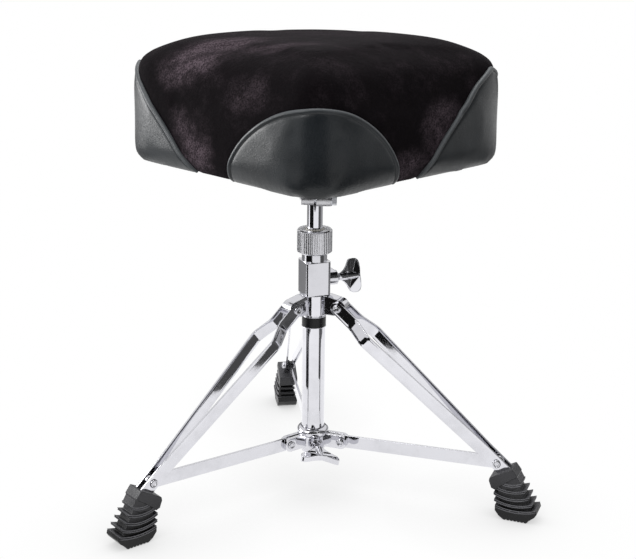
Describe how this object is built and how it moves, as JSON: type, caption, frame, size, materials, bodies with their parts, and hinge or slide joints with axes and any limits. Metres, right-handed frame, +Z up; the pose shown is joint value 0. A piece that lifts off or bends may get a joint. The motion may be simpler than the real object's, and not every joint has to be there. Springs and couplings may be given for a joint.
{
  "type": "drum throne",
  "caption": "Padded saddle seat on a height-adjustable post, carried by a folding tripod with double legs, a sliding collar with braces, and ribbed rubber boots.",
  "frame": {"origin": "on the floor under the axis of the main tube", "axes": "+Z up along the main tube; the seat's nose points to -Y, and its widest places lie at -X and +X; the rear leg points near +Y"},
  "size_m": [0.5124, 0.4834, 0.558],
  "materials": {
    "tube_chrome": "bright chrome plating on drawn steel tube",
    "cast_chrome": "bright chrome plating on a casting",
    "wing_chrome": "bright chrome plating",
    "strip_chrome": "bright chrome plating on flat steel bar",
    "rivet_steel": "plated steel rivets",
    "zinc_steel": "zinc-plated steel",
    "cast_mount": "satin grey casting",
    "bush_nylon": "natural nylon",
    "washer_plastic": "black nylon washers",
    "band_black": "plain gloss black band",
    "boot_rubber": "black moulded rubber",
    "plywood": "plain birch plywood",
    "cover_fabric": "black non-woven dust cover",
    "cushion_velour": "black crushed velour over foam, with charcoal leather-look panels"
  },
  "bodies": {
    "column": {"main_tube": "tube_chrome", "guide_bush": "bush_nylon", "lock_block": "cast_chrome", "collet": "bush_nylon", "leg_hub": "cast_chrome", "hub_pins": "rivet_steel", "plain_band": "band_black"},
    "nut": {"clamp_nut": "cast_chrome"},
    "height_bolt": {"height_wing_bolt": "wing_chrome"},
    "post": {"seat_post": "tube_chrome"},
    "seat": {"seat_mount": "cast_mount", "mount_clamp_bolt": "zinc_steel", "mount_screws": "zinc_steel", "tee_nuts": "zinc_steel", "dust_cover": "cover_fabric", "seat_board": "plywood", "seat_cushion": "cushion_velour"},
    "slider": {"slider_collar": "cast_chrome", "slider_rivets": "rivet_steel"},
    "slider_bolt": {"slider_wing_bolt": "wing_chrome"},
    "brace_rear": {"brace_rear": "strip_chrome"},
    "leg_rear": {"leg_rear_strip_a": "strip_chrome", "leg_rear_strip_b": "strip_chrome", "leg_rear_rivets": "rivet_steel", "leg_rear_spacers": "washer_plastic", "boot_rear": "boot_rubber"},
    "brace_left": {"brace_left": "strip_chrome"},
    "leg_left": {"leg_left_strip_a": "strip_chrome", "leg_left_strip_b": "strip_chrome", "leg_left_rivets": "rivet_steel", "leg_left_spacers": "washer_plastic", "boot_left": "boot_rubber"},
    "brace_right": {"brace_right": "strip_chrome"},
    "leg_right": {"leg_right_strip_a": "strip_chrome", "leg_right_strip_b": "strip_chrome", "leg_right_rivets": "rivet_steel", "leg_right_spacers": "washer_plastic", "boot_right": "boot_rubber"}
  },
  "joints": [
    {"name": "seat_height", "type": "slide", "parent": "column", "child": "post", "axis": [0, 0, 1], "range_m": [-0.025, 0.125]},
    {"name": "seat_turn", "type": "hinge", "parent": "post", "child": "seat", "pos_m": [0, 0, 0.366], "axis": [0, 0, 1], "continuous": true},
    {"name": "clamp_nut_turn", "type": "hinge", "parent": "column", "child": "nut", "pos_m": [0, 0, 0.3037], "axis": [0, 0, 1], "range_deg": [0, 720]},
    {"name": "height_bolt_turn", "type": "hinge", "parent": "column", "child": "height_bolt", "pos_m": [0, 0, 0.269], "axis": [0.9304, 0.3665, 0], "range_deg": [0, 720]},
    {"name": "fold", "type": "slide", "parent": "column", "child": "slider", "axis": [0, 0, 1], "range_m": [0, 0.1098]},
    {"name": "slider_bolt_turn", "type": "hinge", "parent": "slider", "child": "slider_bolt", "pos_m": [0, 0, 0.0586], "axis": [0.1874, -0.9823, 0], "range_deg": [0, 720]},
    {"name": "brace_rear_swing", "type": "hinge", "parent": "slider", "child": "brace_rear", "pos_m": [-0.00601, 0.03884, 0.0616], "axis": [-0.9882, -0.153, 0], "range_deg": [0, 87.68]},
    {"name": "leg_rear_swing", "type": "hinge", "parent": "brace_rear", "child": "leg_rear", "pos_m": [-0.03656, 0.23619, 0.068], "axis": [-0.9882, -0.153, 0], "range_deg": [-41.68, 0]},
    {"name": "brace_left_swing", "type": "hinge", "parent": "slider", "child": "brace_left", "pos_m": [-0.03063, -0.02463, 0.0616], "axis": [0.6266, -0.7793, 0], "range_deg": [0, 87.68]},
    {"name": "leg_left_swing", "type": "hinge", "parent": "brace_left", "child": "leg_left", "pos_m": [-0.18626, -0.14976, 0.068], "axis": [0.6266, -0.7793, 0], "range_deg": [-41.68, 0]},
    {"name": "brace_right_swing", "type": "hinge", "parent": "slider", "child": "brace_right", "pos_m": [0.03664, -0.01421, 0.0616], "axis": [0.3616, 0.9323, 0], "range_deg": [0, 87.68]},
    {"name": "leg_right_swing", "type": "hinge", "parent": "brace_right", "child": "leg_right", "pos_m": [0.22282, -0.08643, 0.068], "axis": [0.3616, 0.9323, 0], "range_deg": [-41.68, 0]}
  ],
  "couplings": [
    {"joint": "brace_rear_swing", "follows": "fold", "rad_per_m": 13.935},
    {"joint": "leg_rear_swing", "follows": "fold", "rad_per_m": -6.6233},
    {"joint": "brace_left_swing", "follows": "fold", "rad_per_m": 13.935},
    {"joint": "leg_left_swing", "follows": "fold", "rad_per_m": -6.6233},
    {"joint": "brace_right_swing", "follows": "fold", "rad_per_m": 13.935},
    {"joint": "leg_right_swing", "follows": "fold", "rad_per_m": -6.6233}
  ]
}
